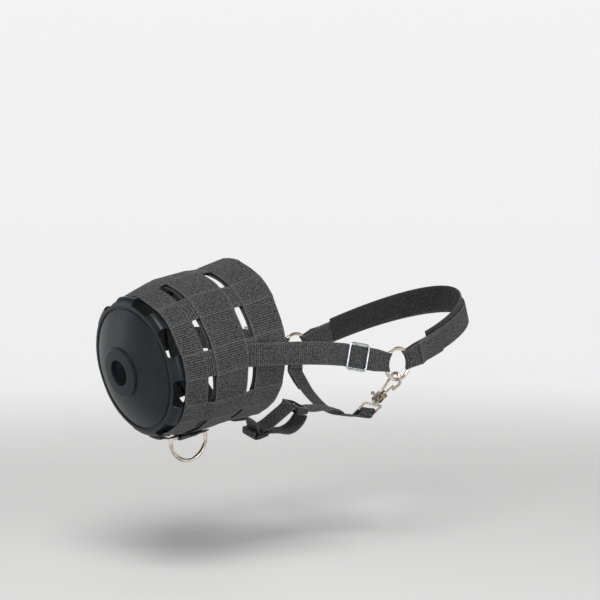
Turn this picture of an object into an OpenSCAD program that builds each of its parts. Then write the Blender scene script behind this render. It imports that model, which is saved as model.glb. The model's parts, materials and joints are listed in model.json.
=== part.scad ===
// Basket muzzle for grazing: a moulded cup, a webbing basket, and a head harness.
// Frame: the origin is the centre of the rear opening, where the head goes in.
// +Z is up, -Y is the front of the muzzle, +X is the near (left) side of the animal.

/* [Basket] */
// Outer radius of the rear opening
rear_radius = 88; // [84:0.5:92]
// Width of the rear band along the basket
rear_band_width = 37; // [32:0.5:40]
// Open gap between the rear band and the middle band
rear_gap = 11.5; // [8:0.5:14]
// Width of the middle band
middle_band_width = 42; // [36:0.5:46]
// Open gap between the middle band and the front band
front_gap = 9; // [6:0.5:12]
// Width of the front band
front_band_width = 24.5; // [20:0.5:26]
// How far the basket droops towards the front, in degrees
basket_droop = 9.6; // [6:0.1:12]
// Backward lean of the rear opening, in degrees
rear_tilt = 5; // [3:0.5:7]
// Backward lean of the cup, in degrees
cup_tilt = 10.5; // [9:0.5:12]

/* [Webbing] */
// Width of the basket and cheek webbing
strap_width = 25; // [22:0.5:26]
// Width of the straps that run along the basket
long_strap_width = 29; // [25:0.5:30]
// Width of the throat webbing
throat_width = 18; // [15:0.5:20]
// Thickness of all webbing
web = 1.8; // [1.4:0.1:2]
// Air gap between stacked layers of webbing
layer_gap = 0.25; // [0.2:0.05:0.3]

/* [Cup] */
// Distance of the cup rim from the rear opening
cup_distance = 133.5; // [132:0.5:136]
// Largest radius of the cup
cup_radius = 76.2; // [75:0.1:77]
// Radius of the domed face
face_radius = 66.5; // [64:0.5:68]
// How far the dome stands out from its own edge
dome_height = 17.5; // [12:0.5:20]
// Wall thickness of the cup
cup_wall = 3; // [2.4:0.2:3.4]
// Radius of the grazing hole
hole_radius = 14; // [12:0.5:16]
// Radius of the raised ring around the grazing hole
boss_radius = 27; // [22:0.5:30]
// Angle that each vent window takes
window_angle = 24; // [20:1:26]

/* [Metal] */
// Radius of the cheek ring, measured to the middle of its wire
ring_radius = 17.5; // [16.5:0.5:18.5]
// Thickness of the cheek ring wire
ring_wire = 4; // [3.6:0.1:4.2]
// Inner width of the lead ring
lead_ring_width = 41; // [36:0.5:42]
// Thickness of the lead ring wire
lead_ring_wire = 4.5; // [4:0.1:5]
// Thickness of the cheek slider wire
slider_wire = 2.6; // [2:0.1:2.6]
// Thickness of the snap wire
snap_wire = 3.4; // [3:0.1:3.6]

/* [Harness] */
// Distance of the cheek ring plane from the middle of the head
ring_x = 91.5; // [90:0.5:95]
// Distance of the cheek ring behind the rear opening
ring_y = 154; // [150:1:158]
// Height of the cheek ring centre
ring_z = -32.5; // [-35:0.5:-30]
// Rise of the crown strap towards the nape, in degrees
crown_rise = 16.7; // [14:0.1:20]
// Distance from the ring centre to the nape along the crown strap
crown_length = 178; // [165:1:190]
// Slope of the snap up towards its ring, in degrees
snap_slope = 38.7; // [36:0.1:42]
// Turn of the swivel eye about the snap, in degrees
eye_turn = -20; // [-30:1:0]
// Roll of the chin strap and its buckles, in degrees
chin_roll = 12; // [0:1:14]

/* [Hidden] */

X_AXIS = [1, 0, 0];
Y_AXIS = [0, 1, 0];
$fn = 48;

webbing_colour = [0.13, 0.13, 0.14];
lining_colour = [0.09, 0.09, 0.10];
rubber_colour = [0.17, 0.18, 0.19];
plastic_colour = [0.07, 0.07, 0.08];
metal_colour = [0.80, 0.79, 0.76];

// Stations along the basket, counted forward from the rear opening.
rear_end = rear_band_width;
middle_start = rear_end + rear_gap;
middle_end = middle_start + middle_band_width;
front_start = middle_end + front_gap;
front_end = front_start + front_band_width;
layer = web + layer_gap;

// Outer radius of the basket at a station.
basket_outline = [
    [0, rear_radius],
    [rear_end, rear_radius - 4],
    [middle_start, rear_radius - 3],
    [middle_end, rear_radius - 3.5],
    [front_start, rear_radius - 6],
    [front_end, cup_radius + 0.3]
];

function outline(s) = lookup(s, basket_outline);
function tilt(s) = rear_tilt + (cup_tilt - rear_tilt) * pow(min(s / front_start, 1), 1.5);
function centre(s) = [0, -s * cos(basket_droop), -s * sin(basket_droop)];

// Point of the basket at station s, angle a from the top towards the near side, radius r.
function on_basket(s, a, r) =
    centre(s) + r * [sin(a), -cos(a) * sin(tilt(s)), cos(a) * cos(tilt(s))];

function unit(v) = v / norm(v);
function mix(a, b, t) = a * (1 - t) + b * t;

// Smooth curve through the knots, with the given number of steps between each pair.
function knot(k, i) = k[max(0, min(len(k) - 1, i))];
function curve_point(a, b, c, d, t) =
    0.5 * (2 * b + (c - a) * t + (2 * a - 5 * b + 4 * c - d) * t * t
        + (3 * b - a - 3 * c + d) * t * t * t);
function curve(k, steps) = [
    for (i = [0 : len(k) - 2])
        for (j = [0 : steps - (i == len(k) - 2 ? 0 : 1)])
            curve_point(knot(k, i - 1), k[i], k[i + 1], knot(k, i + 2), j / steps)
];

// Solid through a row of cross sections that all have the same number of corners.
module loft(sections, closed = false) {
    rows = len(sections);
    corners = len(sections[0]);
    last = closed ? rows - 1 : rows - 2;
    sides = [
        for (i = [0 : last])
            for (j = [0 : corners - 1])
                let (n = (i + 1) % rows, k = (j + 1) % corners)
                    each [
                        [i * corners + j, i * corners + k, n * corners + k],
                        [i * corners + j, n * corners + k, n * corners + j]
                    ]
    ];
    ends = closed ? [] : [
        [for (j = [corners - 1 : -1 : 0]) j],
        [for (j = [0 : corners - 1]) (rows - 1) * corners + j]
    ];
    polyhedron(points = [for (row = sections) each row], faces = concat(sides, ends));
}

// Flat strap along a path; side points across the strap, from the first end to the last end.
// The strap turns from one to the other between the two shares of its path in turning.
module ribbon(path, width, side_start, side_end, turning = [0, 1]) {
    last = len(path) - 1;
    loft([
        for (i = [0 : last])
            let (
                along = unit(path[min(i + 1, last)] - path[max(i - 1, 0)]),
                turned = max(0, min(1, (i / last - turning[0]) / (turning[1] - turning[0]))),
                side = unit(mix(side_start, side_end, turned)),
                face = unit(cross(side, along)),
                across = unit(cross(along, face)) * width / 2,
                up = face * web / 2
            )
            [
                path[i] + across + up, path[i] - across + up,
                path[i] - across - up, path[i] + across - up
            ]
    ]);
}

// ---------------------------------------------------------------- cup

module in_cup_frame() {
    translate(centre(cup_distance)) rotate([90 + cup_tilt, 0, 0]) children();
}

// Arc of the dome from its edge at radius r_edge to the axis.
function dome_arc(r_edge, z_edge, rise) =
    let (big = (r_edge * r_edge + rise * rise) / (2 * rise), reach = asin(r_edge / big))
    [for (i = [14 : -1 : 0]) let (a = reach * i / 14) [big * sin(a), z_edge + rise - big * (1 - cos(a))]];

lip_back = -4;
face_edge_z = 4.5;
groove = 1;
groove_width = 2;
skirt_start = -8.5;
skirt_end = -26;

module cup_shell() {
    lip = cup_radius - face_radius;
    lip_rise = face_edge_z - lip_back;
    outer_lip = [for (i = [0 : 6]) let (a = 90 - 15 * i)
        [face_radius + lip * sin(a), lip_back + lip_rise * cos(a)]];
    inner_lip = [for (i = [0 : 6]) let (a = 15 * i)
        [face_radius + (lip - cup_wall) * sin(a), lip_back + (lip_rise - cup_wall) * cos(a)]];
    inner_dome = dome_arc(face_radius, face_edge_z - cup_wall, dome_height);
    rotate_extrude($fn = 96)
        polygon(concat(
            [[cup_radius - 1, skirt_end], [cup_radius - 4.2, skirt_start]],
            [[cup_radius - 0.8, lip_back - 2.5]],
            outer_lip,
            [[face_radius - 0.2, face_edge_z - groove], [face_radius - groove_width, face_edge_z - groove]],
            dome_arc(face_radius - groove_width - 0.3, face_edge_z, dome_height),
            [for (i = [len(inner_dome) - 1 : -1 : 1]) inner_dome[i]],
            inner_lip,
            [[cup_radius - 3.8, lip_back - 1.5]],
            [[cup_radius - 7, skirt_start], [cup_radius - 3.6, skirt_end]]
        ));
}

module cup_boss() {
    boss_top = face_edge_z + dome_height + 0.6;
    rotate_extrude($fn = 96)
        polygon([
            [hole_radius - 1, boss_top - 6], [boss_radius, boss_top - 6],
            [boss_radius, boss_top - 1.8], [boss_radius - 1.2, boss_top - 0.8],
            [hole_radius + 3.5, boss_top], [hole_radius - 1, boss_top]
        ]);
}

// Angles of the vent windows from the top of the cup, the same on both sides.
window_places = [23, 63.5, 107, 152];

// Cutter for one vent window: a bar with rounded corners, kept outside the face of the cup.
module cup_window() {
    corner = 4.5;
    rim = 1.2;
    back = -12;
    front = face_edge_z - 0.8;
    half = cup_radius * sin(window_angle / 2);
    corners = [[half, front, 0], [-half, front, 90], [-half, back, 180], [half, back, 270]];
    difference() {
        translate([face_radius - 3, 0, 0]) rotate([90, 0, 90])
            linear_extrude(20)
                polygon([
                    for (c = corners) for (i = [0 : 6])
                        let (a = c[2] + 15 * i, inward = [-sign(c[0]), c[2] < 180 ? -1 : 1])
                        [c[0], c[1]] + corner * (inward + [cos(a), sin(a)])
                ]);
        translate([0, 0, 2 * back]) cylinder(r = face_radius + rim, h = -4 * back, $fn = 96);
    }
}

module cup() {
    color(rubber_colour)
        in_cup_frame()
            difference() {
                union() {
                    cup_shell();
                    cup_boss();
                }
                translate([0, 0, -1]) cylinder(r = hole_radius, h = 60, $fn = 96);
                for (side = [-1, 1], a = window_places)
                    rotate([0, 0, 90 - side * a]) cup_window();
            }
}

// ---------------------------------------------------------------- basket webbing

hoop_steps = 72;

// Hoop of webbing through the stations, with its outer face the given depth under the outline.
module hoop(stations, depth) {
    last = len(stations) - 1;
    loft([
        for (i = [0 : hoop_steps - 1])
            let (a = -360 * i / hoop_steps)
            concat(
                [for (s = stations) on_basket(s, a, outline(s) - depth)],
                [for (k = [last : -1 : 0]) on_basket(stations[k], a, outline(stations[k]) - depth - web)]
            )
    ], closed = true);
}

// Angles from the top of the basket: the upper, side and lower straps, the same on both sides.
strap_places = [44, 87.5, 128.5];

// Strap along the basket at angle a, between the lining and the outer bands.
module long_strap(a) {
    stations = [2, rear_end, middle_start, middle_end, front_start, front_end - 1];
    color(webbing_colour)
        loft([
            for (s = stations)
                let (half = long_strap_width / 2 / outline(s) * 180 / PI)
                concat(
                    [for (t = [-1 : 0.5 : 1]) on_basket(s, a + half * t, outline(s) - layer)],
                    [for (t = [1 : -0.5 : -1]) on_basket(s, a + half * t, outline(s) - layer - web)]
                )
        ]);
}

lining_peek = 2.2;

module front_band() { color(webbing_colour) hoop([front_start, front_end], 0); }
module middle_band() { color(webbing_colour) hoop([middle_start, middle_end], 0); }
module rear_band() { color(webbing_colour) hoop([0, rear_end], 0); }

module front_lining() {
    color(lining_colour) hoop([front_start - lining_peek, front_start, front_start + 7], 2 * layer);
}

module middle_lining() {
    color(lining_colour) hoop([middle_start + 1, middle_end, middle_end + lining_peek], 2 * layer);
}

module rear_lining() {
    color(lining_colour) hoop([1, rear_end, rear_end + lining_peek], 2 * layer);
}

module top_strap() { long_strap(0); }
module upper_near_strap() { long_strap(strap_places[0]); }
module side_near_strap() { long_strap(strap_places[1]); }
module lower_near_strap() { long_strap(strap_places[2]); }
module bottom_strap() { long_strap(180); }
module lower_off_strap() { long_strap(-strap_places[2]); }
module side_off_strap() { long_strap(-strap_places[1]); }
module upper_off_strap() { long_strap(-strap_places[0]); }

fold_angle = 182;
fold_outside = 6.5;
doubled_width = 20;
doubled_start = front_end - 13.5;

// Doubled end of webbing, turned up under the front band.
module front_fold() {
    half = doubled_width / 2 / cup_radius * 180 / PI;
    color(webbing_colour)
        loft([
            for (s = [doubled_start, doubled_start + 4, front_end - 4, front_end + 1.5])
                let (depth = s > doubled_start && s < front_end ? fold_outside : fold_outside - 1.2)
                concat(
                    [for (t = [-1 : 0.5 : 1]) on_basket(s, fold_angle + half * t, outline(s) + depth)],
                    [for (t = [1 : -0.5 : -1]) on_basket(s, fold_angle + half * t, outline(s) + 0.3)]
                )
        ]);
}

// ---------------------------------------------------------------- lead ring

lead_station = 82;
lead_tilt = 9;
lead_leg = 6.2;
keeper_width = strap_width;
bar_drop = 0.3 + lead_ring_wire / 2;

module in_lead_frame() {
    translate(on_basket(lead_station, 180, outline(lead_station))) rotate([lead_tilt, 0, 0]) children();
}

module ring_keeper() {
    low = bar_drop + lead_ring_wire / 2 + 0.3 + web / 2;
    half_route = [[24, 2.2], [18, 0.7], [12, -0.7], [7, -2], [4.4, -4.2], [0, -low]];
    route = concat(
        [for (p = half_route) [p[0], 0, p[1]]],
        [for (i = [4 : -1 : 0]) [-half_route[i][0], 0, half_route[i][1]]]
    );
    color(webbing_colour) in_lead_frame() ribbon(curve(route, 4), keeper_width, Y_AXIS, Y_AXIS);
}

module lead_ring() {
    half = (lead_ring_width + lead_ring_wire) / 2;
    wire = lead_ring_wire / 2;
    color(metal_colour)
        in_lead_frame() translate([0, 0, -bar_drop]) {
            translate([0, -half, 0]) rotate([-90, 0, 0]) cylinder(r = wire, h = 2 * half);
            for (side = [-1, 1]) {
                translate([0, side * half, 0]) sphere(r = wire);
                translate([0, side * half, -lead_leg]) cylinder(r = wire, h = lead_leg);
            }
            translate([0, 0, -lead_leg]) rotate([0, 90, 0]) rotate([0, 0, -90])
                rotate_extrude(angle = 180) translate([half, 0]) circle(r = wire);
        }
}

// ---------------------------------------------------------------- cheek rings and folds

fold_inner = ring_wire / 2 + 0.3;
fold_width = 22;

module on_near_ring(turn) {
    translate([ring_x, ring_y, ring_z]) rotate([turn, 0, 0]) children();
}

module cheek_ring() {
    color(metal_colour)
        on_near_ring(0) rotate([0, 90, 0])
            rotate_extrude($fn = 72) translate([ring_radius, 0]) circle(r = ring_wire / 2, $fn = 32);
}

// Strap folded round the ring wire. The strap leaves along +Y of the turned ring frame.
module ring_fold(width) {
    intersection() {
        rotate([0, 90, 0])
            rotate_extrude($fn = 72)
                difference() {
                    translate([ring_radius, 0]) circle(r = fold_inner + web, $fn = 32);
                    translate([ring_radius, 0]) circle(r = fold_inner, $fn = 32);
                    translate([ring_radius, -10]) square([20, 20]);
                }
        translate([-10, 0, -width / 2]) cube([20, ring_radius + 5, width]);
    }
}

// Flat leg of a fold on one face of the ring, from the wire out to the given length.
module ring_leg(face, start_width, end_width, taper, length) {
    near_x = face > 0 ? fold_inner : -fold_inner - web;
    translate([near_x, 0, 0])
        rotate([90, 0, 90])
            linear_extrude(web)
                difference() {
                    polygon([
                        [ring_radius * 0.5, -start_width / 2], [ring_radius + 4, -start_width / 2],
                        [ring_radius + taper, -end_width / 2], [length, -end_width / 2],
                        [length, end_width / 2], [ring_radius + taper, end_width / 2],
                        [ring_radius + 4, start_width / 2], [ring_radius * 0.5, start_width / 2]
                    ]);
                    circle(r = ring_radius, $fn = 72);
                }
}

// ---------------------------------------------------------------- cheek strap and slider

cheek_run = 84;
cheek_fall = 12;
cheek_turn = 180 - cheek_fall;
cheek_return = 50;
cheek_mid_x = ring_x + fold_inner + web / 2;
cheek_run_end = [
    cheek_mid_x,
    ring_y - cheek_run * cos(cheek_fall),
    ring_z + cheek_run * sin(cheek_fall)
];

module cheek_strap() {
    route = [
        [rear_radius - 1.6, -33, -8.2],
        [rear_radius + 1.6, -1, -8.8],
        [rear_radius + 3.6, 20, -9.8],
        [rear_radius + 5.4, 48, -12.2],
        cheek_run_end + [0, 0.2, 0]
    ];
    color(webbing_colour) {
        ribbon(curve(route, 5), strap_width, [0, 0, 1], [0, sin(cheek_fall), cos(cheek_fall)]);
        on_near_ring(cheek_turn) {
            ring_leg(1, fold_width, strap_width, 14, cheek_run);
            ring_leg(-1, fold_width, strap_width, 14, cheek_return);
            ring_fold(fold_width);
        }
    }
}

slider_middle = 64;
slider_length = 30;
slider_corner = 4;

module wire_bar(a, b, wire) {
    length = norm(b - a);
    along = (b - a) / length;
    translate(a) rotate([0, acos(along[2]), atan2(along[1], along[0])]) cylinder(r = wire / 2, h = length);
}

module cheek_slider() {
    half_long = (slider_length - slider_wire) / 2;
    half_wide = strap_width / 2 + 0.4 + slider_wire / 2;
    top = fold_inner + web + 0.3 + slider_wire / 2;
    low = fold_inner - 0.3 - slider_wire / 2;
    color(metal_colour)
        on_near_ring(cheek_turn) translate([0, slider_middle, 0]) {
            for (side = [-1, 1]) {
                wire_bar(
                    [top, -half_long + slider_corner, side * half_wide],
                    [top, half_long - slider_corner, side * half_wide], slider_wire);
                wire_bar(
                    [top, side * half_long, -half_wide + slider_corner],
                    [top, side * half_long, half_wide - slider_corner], slider_wire);
                wire_bar([top, 0, side * half_wide], [low, 0, side * half_wide], slider_wire);
                translate([low, 0, side * half_wide]) sphere(r = slider_wire / 2, $fn = 32);
            }
            wire_bar([low, 0, -half_wide], [low, 0, half_wide], slider_wire);
            for (a = [-1, 1], b = [-1, 1])
                translate([top, a * (half_long - slider_corner), b * (half_wide - slider_corner)])
                    rotate([0, 90, 0])
                        rotate([0, 0, b > 0 ? (a > 0 ? 90 : 180) : (a > 0 ? 0 : 270)])
                            rotate_extrude(angle = 90)
                                translate([slider_corner, 0]) circle(r = slider_wire / 2, $fn = 32);
        }
}

module cheek_strap_near() { cheek_strap(); }
module cheek_strap_off() { mirror([1, 0, 0]) cheek_strap(); }
module cheek_slider_near() { cheek_slider(); }
module cheek_slider_off() { mirror([1, 0, 0]) cheek_slider(); }
module cheek_ring_near() { cheek_ring(); }
module cheek_ring_off() { mirror([1, 0, 0]) cheek_ring(); }

// ---------------------------------------------------------------- crown strap

crown_start = 30;
crown_steps = 40;

// Plan of the crown strap between two half turns, as an outline of the given middle half width.
function crown_plan(half_width, reach) =
    [for (i = [0 : crown_steps]) let (a = 180 * i / crown_steps)
        [half_width * cos(a), crown_start + (reach - crown_start) * sin(a)]];

module crown_frame() {
    translate([0, ring_y, ring_z]) rotate([crown_rise, 0, 0]) children();
}

module crown_strap() {
    outer = ring_x - fold_inner;
    inner = outer - web;
    color(webbing_colour) {
        crown_frame()
            translate([0, 0, -strap_width / 2]) linear_extrude(strap_width)
                difference() {
                    polygon(crown_plan(outer, crown_length));
                    polygon(concat(
                        [[inner, crown_start - 1]],
                        crown_plan(inner, crown_length - web),
                        [[-inner, crown_start - 1]]));
                }
        for (side = [0, 1])
            mirror([side, 0, 0]) on_near_ring(crown_rise)
                ring_leg(-1, fold_width, strap_width, 10, crown_start + 0.2);
    }
}

crown_overlap = 74;

// End of the crown strap, turned out through the ring and laid back on the strap.
module crown_end() {
    middle = ring_x + fold_inner + web / 2;
    rest = web + 0.3;
    bend = crown_start + 4;
    function on_plan(u) = let (a = asin((u - crown_start) / (crown_length - crown_start)))
        (ring_x - fold_inner - web / 2) * cos(a) + rest;
    route = [
        [middle, crown_start - 2, 0], [middle - 0.4, bend, 0],
        [on_plan(bend + 12) + 0.8, bend + 12, 0],
        [on_plan(bend + 22), bend + 22, 0],
        [on_plan(crown_overlap), crown_overlap, 0]
    ];
    color(webbing_colour) {
        on_near_ring(crown_rise) {
            ring_fold(fold_width);
            ring_leg(1, fold_width, strap_width, 10, crown_start);
        }
        crown_frame() ribbon(curve(route, 4), strap_width, [0, 0, 1], [0, 0, 1]);
    }
}

module crown_end_near() { crown_end(); }
module crown_end_off() { mirror([1, 0, 0]) crown_end(); }

// ---------------------------------------------------------------- snap

gate_pivot = [-38, 0];
bow_centre = [-2.2, 1.6];
bow_radius = 7.5;
eye_near = -53;
eye_far = -66;
eye_wire = 2.6;
stud_radius = 1.75;
stud_clearance = 0.06;
rivet_radius = 1.2;
rivet_clearance = 0.05;
nose_tip = [-12.5, -5];
block_half = 4;
slot_half = 2.2;
hub_half = 1.3;

// The snap frame has its origin on the ring wire and its +X along the snap, towards the bow.
module in_snap_frame() {
    translate([ring_x, ring_y, ring_z - ring_radius]) rotate([0, -snap_slope, 0]) children();
}

// Round bar in the plane of the snap; places holds [x, z, radius] along it.
module round_bar(places) {
    sides = 16;
    last = len(places) - 1;
    loft([
        for (i = [0 : last])
            let (
                p = places[i],
                along = places[min(i + 1, last)] - places[max(i - 1, 0)],
                across = [-along[1], along[0]] / norm([along[0], along[1]])
            )
            [
                for (j = [0 : sides - 1])
                    let (a = 360 * j / sides, out = p[2] * cos(a) * across)
                    [p[0] + out[0], p[2] * sin(a), p[1] + out[1]]
            ]
    ]);
}

// Places of a bar of even thickness along a path, with a rounded far end.
function even_bar(path, radius) =
    let (end = path[len(path) - 1], way = unit(end - path[len(path) - 2]))
    concat(
        [for (p = path) [p[0], p[1], radius]],
        [for (a = [30, 55, 78]) let (p = end + radius * sin(a) * way) [p[0], p[1], radius * cos(a)]]
    );

module snap_eye() {
    half = throat_width / 2 + 0.4 + eye_wire / 2;
    color(metal_colour)
        in_snap_frame() rotate([eye_turn, 0, 0]) {
            for (u = [eye_near, eye_far]) wire_bar([u, -half, 0], [u, half, 0], eye_wire);
            for (side = [-1, 1]) {
                wire_bar([eye_near, side * half, 0], [eye_far, side * half, 0], eye_wire);
                for (u = [eye_near, eye_far])
                    translate([u, side * half, 0]) sphere(r = eye_wire / 2, $fn = 32);
            }
            translate([eye_near, 0, 0]) rotate([0, 90, 0]) cylinder(r = stud_radius, h = 8.6);
            translate([eye_near + 7, 0, 0]) rotate([0, 90, 0]) cylinder(r = 2.6, h = 1.6);
        }
}

module snap_body() {
    // Spine, bow and nose.
    hook = concat(
        [[-33, 3.6]],
        [for (i = [0 : 12]) let (a = 90 - 15 * i) bow_centre + bow_radius * [cos(a), sin(a)]],
        [nose_tip]
    );
    color(metal_colour)
        in_snap_frame()
            difference() {
                union() {
                    // Barrel round the swivel stud, and the forked block that holds the gate.
                    translate([-50.6, 0, 0]) rotate([0, 90, 0]) cylinder(r = 4.2, h = 6);
                    translate([-46.6, -block_half, -4]) cube([16.6, 2 * block_half, 9]);
                    round_bar(even_bar(hook, snap_wire / 2));
                }
                // Bore of the swivel stud and the room for its head.
                translate([-51, 0, 0]) rotate([0, 90, 0]) cylinder(r = stud_radius + stud_clearance, h = 5);
                translate([-46.3, 0, 0]) rotate([0, 90, 0]) cylinder(r = 2.9, h = 4);
                // Slot of the gate, the room for its thumb arm, and its way out under the spine.
                translate([-43, -slot_half, -5]) cube([9, 2 * slot_half, 12]);
                translate([-44.9, -slot_half, 2]) cube([4, 2 * slot_half, 6]);
                translate([-36, -slot_half, -5]) cube([8, 2 * slot_half, 7.3]);
                // Bore of the rivet.
                translate([gate_pivot[0], -6, gate_pivot[1]]) rotate([-90, 0, 0])
                    cylinder(r = rivet_radius, h = 12);
            }
}

module snap_gate() {
    tip = [-10.4, -1.75];
    hub_radius = 2.7;
    thumb_root = gate_pivot + [-0.8, 1.9];
    thumb_way = unit([-6.1, 8.5]);
    // Distance from the root and radius, up to the end of the knob.
    thumb = [[0, 1.1], [8.2, 1.1], [8.7, 1.6], [9.4, 2.1], [10.5, 2.3], [11.6, 2], [12.3, 1.4], [12.7, 0.6]];
    color(metal_colour)
        in_snap_frame()
            difference() {
                union() {
                    translate([gate_pivot[0], -hub_half, gate_pivot[1]]) rotate([-90, 0, 0])
                        cylinder(r = hub_radius, h = 2 * hub_half);
                    round_bar(even_bar([gate_pivot + [1.6, -0.1], tip], 1.2));
                    round_bar([for (p = thumb) let (q = thumb_root + p[0] * thumb_way) [q[0], q[1], p[1]]]);
                }
                translate([gate_pivot[0], -6, gate_pivot[1]]) rotate([-90, 0, 0])
                    cylinder(r = rivet_radius + rivet_clearance, h = 12);
            }
}

module snap_rivet() {
    color(metal_colour)
        in_snap_frame() translate([gate_pivot[0], 0, gate_pivot[1]]) rotate([-90, 0, 0]) {
            translate([0, 0, -block_half]) cylinder(r = rivet_radius, h = 2 * block_half);
            for (side = [-1, 1])
                translate([0, 0, side * (block_half + 0.4) - 0.4]) cylinder(r = 2, h = 0.8);
        }
}

module snap_spring() {
    coil_wire = 0.6;
    color(metal_colour)
        in_snap_frame() translate([gate_pivot[0], 0, gate_pivot[1]])
            for (side = [-1, 1])
                translate([0, side * (hub_half + slot_half) / 2, 0]) rotate([-90, 0, 0])
                    rotate_extrude($fn = 32) translate([1.9, 0]) circle(r = coil_wire / 2, $fn = 16);
}

// ---------------------------------------------------------------- throat strap

throat_low = -101;
throat_y = 150;
throat_fold = 16;
throat_leg = 6.5;

module throat_strap() {
    bar = [ring_x + eye_far * cos(snap_slope), ring_y, ring_z - ring_radius + eye_far * sin(snap_slope)];
    ahead = [cos(snap_slope), 0, sin(snap_slope)];
    above = [-sin(snap_slope), 0, cos(snap_slope)];
    wrap = eye_wire / 2 + 0.25 + web / 2;
    eye_side = [0, cos(eye_turn), 0] + sin(eye_turn) * above;
    fold = [for (i = [0 : 6]) let (a = -90 + 30 * i) bar + wrap * (ahead * cos(a) + above * sin(a))];
    off_leg = -ring_x + fold_inner + web / 2;
    under = [
        fold[0] - 9 * ahead,
        [18, throat_y, throat_low + 1.8],
        [-8, throat_y, throat_low],
        [-36, throat_y, throat_low + 6],
        [-62, throat_y + 1, throat_low + 19],
        [-80, ring_y - 1, throat_low + 33],
        [off_leg - 0.4, ring_y, ring_z - ring_radius - 10],
        [off_leg, ring_y, ring_z - ring_radius - throat_leg + 0.2]
    ];
    color(webbing_colour) {
        ribbon(
            concat([fold[6] - 16 * ahead, fold[6] - 6 * ahead], [for (i = [5 : -1 : 1]) fold[i]],
                [fold[0], fold[0] - 4 * ahead]),
            throat_width, eye_side, eye_side);
        ribbon(concat([fold[0] - 3.9 * ahead], curve(under, 4)), throat_width, eye_side, Y_AXIS);
        mirror([1, 0, 0]) on_near_ring(-90)
            ring_leg(-1, throat_fold, throat_width, throat_leg - 1, ring_radius + throat_leg);
    }
}

// End of the throat strap, turned out through the off ring and laid back on the strap.
module throat_end_off() {
    out_leg = -ring_x - fold_inner - web / 2;
    bottom = ring_z - ring_radius;
    route = [
        [out_leg, ring_y, bottom - throat_leg + 0.2], [out_leg + 0.8, ring_y, bottom - 10.5],
        [-88.6, ring_y, bottom - 16.5], [-80.5, ring_y - 1, bottom - 22.5], [-71, ring_y - 2, bottom - 28.5]
    ];
    color(webbing_colour) {
        mirror([1, 0, 0]) on_near_ring(-90) {
            ring_fold(throat_fold);
            ring_leg(1, throat_fold, throat_width, throat_leg - 1, ring_radius + throat_leg);
        }
        ribbon(curve(route, 4), throat_width, Y_AXIS, Y_AXIS);
    }
}

// ---------------------------------------------------------------- chin strap

chin_side = [cos(chin_roll), 0, -sin(chin_roll)];
chin_width = strap_width - 2;
loop_place = [0, 25, -107];
loop_lean = 14;
chin_slider_place = [0, 81, -84.6];
chin_slider_lean = -14;
bar = 3;

// Plastic buckle with two slots: outer length across the strap, depth along it.
module plastic_buckle(depth, height) {
    long = strap_width + 7;
    corner = 2.5;
    slot = (depth - 3 * bar) / 2;
    difference() {
        hull()
            for (a = [-1, 1], b = [-1, 1])
                translate([a * (long / 2 - corner), b * (depth / 2 - corner), -height / 2])
                    cylinder(r = corner, h = height, $fn = 32);
        for (side = [-1, 1])
            translate([-strap_width / 2 - 0.5, side * (bar + slot) / 2 - slot / 2, -height])
                cube([strap_width + 1, slot, 2 * height]);
    }
}

module chin_place(place, lean) {
    translate(place) rotate([0, chin_roll, 0]) rotate([lean, 0, 0]) children();
}

// Point in a buckle's own frame: a along the strap, b up from the middle of the buckle.
function chin_point(place, lean, a, b) =
    place
        + a * [sin(chin_roll) * sin(lean), cos(lean), cos(chin_roll) * sin(lean)]
        + b * [sin(chin_roll) * cos(lean), -sin(lean), cos(chin_roll) * cos(lean)];

module chin_loop() {
    color(plastic_colour) chin_place(loop_place, loop_lean) plastic_buckle(15, 4);
}

// Slider of the chin strap: the strap runs under its end bars and over its middle bar.
module chin_slider() {
    half = strap_width / 2 + 0.5;
    depth = 17;
    under_ends = web / 2 + 0.7;
    over_middle = -web / 2 - 0.3;
    color(plastic_colour) chin_place(chin_slider_place, chin_slider_lean)
        difference() {
            translate([0, 0, 0.2]) plastic_buckle(depth, 6.4);
            for (start = [-depth, bar / 2])
                translate([-half, start, -10]) cube([2 * half, depth - bar / 2, 10 + under_ends]);
            translate([-half, -bar / 2 - 0.5, over_middle]) cube([2 * half, bar + 1, 10]);
        }
}

module chin_tab() {
    wrap = [[-3, 1.5], [-3.3, -2], [-6, -3.6], [-8.9, -2], [-9.2, 1], [-7.6, 5.5]];
    route = concat(
        [[0, -12, -90], [0, -2, -89.4], [0, 7, -89], [0, 13.5, -90], [0, 18.5, -94], [0, 21.2, -100]],
        [for (p = wrap) chin_point(loop_place, loop_lean, p[0], p[1])]
    );
    color(webbing_colour) ribbon(curve(route, 3), chin_width, X_AXIS, chin_side, turning = [0, 0.5]);
}

module chin_strap() {
    wrap = [[8.2, -3.2], [6, -3.6], [3.3, -2.4], [3, 0], [3.3, 2.3], [6, 3.4]];
    route = concat(
        [for (p = wrap) chin_point(loop_place, loop_lean, p[0], p[1])],
        [[0, 37, -101.6], [0, 45, -98], [0, 57, -91], [0, 65, -86.4]],
        [for (a = [-10, -6, 0, 6, 10]) chin_point(chin_slider_place, chin_slider_lean, a, 0)],
        [[0, 98, -88.2], [0, 107, -88.6], [0, 119, -88.9], [0, 131, -90.2], [0, 139, -93.2], [0, 145, -97.6]]
    );
    color(webbing_colour) ribbon(curve(route, 3), chin_width, chin_side, X_AXIS, turning = [0.7, 1]);
}

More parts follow.
